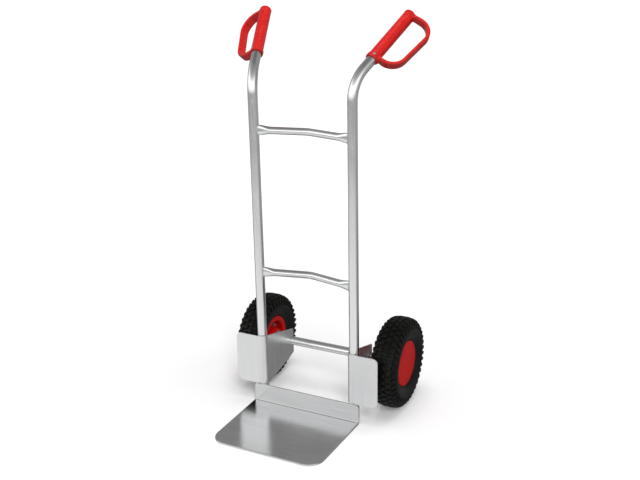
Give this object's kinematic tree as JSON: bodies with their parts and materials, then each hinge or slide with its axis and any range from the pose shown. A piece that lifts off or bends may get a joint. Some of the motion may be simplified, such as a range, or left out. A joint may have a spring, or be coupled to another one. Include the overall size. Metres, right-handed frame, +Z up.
{
  "type": "hand truck",
  "caption": "Upright aluminium hand truck with a folded toe plate, bowed crossbars, wheel-guard brackets, air tyres on red rims and red grips with knuckle guards.",
  "frame": {"origin": "on the floor, at the centre of the footprint of the whole truck", "axes": "+Z up, +X to the right seen from the front, -Y forwards, the way the toe plate points; the handles lean back along +Y"},
  "size_m": [0.5614, 0.5418, 1.0996],
  "materials": {
    "aluminium_tube": "brushed, satin",
    "aluminium_sheet": "brushed along the width, satin",
    "zinc_steel": "zinc plated",
    "bearing_steel": "ground",
    "tyre_rubber": "matt black, block tread",
    "butyl_rubber": "matt",
    "red_grip": "satin moulded",
    "red_rim": "satin",
    "black_plastic": "moulded"
  },
  "bodies": {
    "frame": {"crossbar_lower": "aluminium_tube", "crossbar_upper": "aluminium_tube", "axle_tube": "aluminium_tube", "axle_rod": "zinc_steel", "toe_plate": "aluminium_sheet", "upright_left": "aluminium_tube", "upright_right": "aluminium_tube", "end_plug_left": "black_plastic", "end_plug_right": "black_plastic", "bracket_left": "aluminium_sheet", "bracket_right": "aluminium_sheet", "spacer_washer_left": "zinc_steel", "spacer_washer_right": "zinc_steel", "outer_washer_left": "zinc_steel", "outer_washer_right": "zinc_steel", "retaining_ring_left": "zinc_steel", "retaining_ring_right": "zinc_steel", "grip_left": "red_grip", "grip_right": "red_grip", "grip_screw_left": "zinc_steel", "grip_screw_right": "zinc_steel"},
    "wheel_left": {"tyre_left": "tyre_rubber", "inner_tube_left": "butyl_rubber", "valve_stem_left": "butyl_rubber", "valve_cap_left": "black_plastic", "rim_outer_left": "red_rim", "rim_inner_left": "red_rim", "hub_cap_left": "red_rim", "bearing_outer_left": "bearing_steel", "bearing_inner_left": "bearing_steel", "rim_bolt_1_left": "zinc_steel", "rim_nut_1_left": "zinc_steel", "rim_bolt_2_left": "zinc_steel", "rim_nut_2_left": "zinc_steel", "rim_bolt_3_left": "zinc_steel", "rim_nut_3_left": "zinc_steel", "rim_bolt_4_left": "zinc_steel", "rim_nut_4_left": "zinc_steel"},
    "wheel_right": {"tyre_right": "tyre_rubber", "inner_tube_right": "butyl_rubber", "valve_stem_right": "butyl_rubber", "valve_cap_right": "black_plastic", "rim_outer_right": "red_rim", "rim_inner_right": "red_rim", "hub_cap_right": "red_rim", "bearing_outer_right": "bearing_steel", "bearing_inner_right": "bearing_steel", "rim_bolt_1_right": "zinc_steel", "rim_nut_1_right": "zinc_steel", "rim_bolt_2_right": "zinc_steel", "rim_nut_2_right": "zinc_steel", "rim_bolt_3_right": "zinc_steel", "rim_nut_3_right": "zinc_steel", "rim_bolt_4_right": "zinc_steel", "rim_nut_4_right": "zinc_steel"}
  },
  "joints": [
    {"name": "wheel_left_spin", "type": "hinge", "parent": "frame", "child": "wheel_left", "pos_m": [-0.212, 0.1409, 0.13], "axis": [1, 0, 0], "continuous": true},
    {"name": "wheel_right_spin", "type": "hinge", "parent": "frame", "child": "wheel_right", "pos_m": [0.212, 0.1409, 0.13], "axis": [1, 0, 0], "continuous": true}
  ]
}
